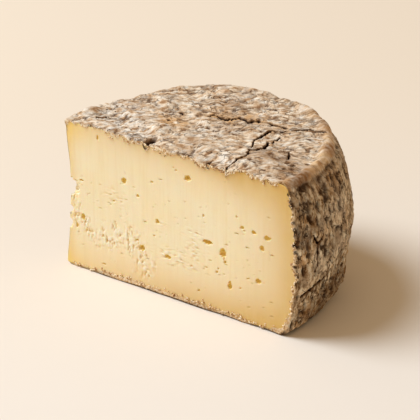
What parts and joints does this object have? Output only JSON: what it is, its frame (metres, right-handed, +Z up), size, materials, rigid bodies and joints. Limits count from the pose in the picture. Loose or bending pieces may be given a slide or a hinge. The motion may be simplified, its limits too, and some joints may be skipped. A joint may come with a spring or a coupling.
{
  "type": "cantal cheese",
  "caption": "Cut half of a small round hard cheese with a cracked natural rind and a flat pale cut face with small eyes, resting on its flat base.",
  "frame": {"origin": "on the flat base, 60 mm behind the cut face and in line with the middle of the cut's foot", "axes": "+X along the cut face from its thin end to its full, bellied end, +Y from the cut face into the cheese, +Z up from the base"},
  "size_m": [0.1897, 0.1275, 0.1101],
  "materials": {
    "paste": "smooth pale yellow paste, slightly translucent, satin",
    "rind": "dry wrinkled and pitted grey-brown natural rind, matte"
  },
  "bodies": {
    "root": {"cheese": "paste"}
  },
  "joints": []
}
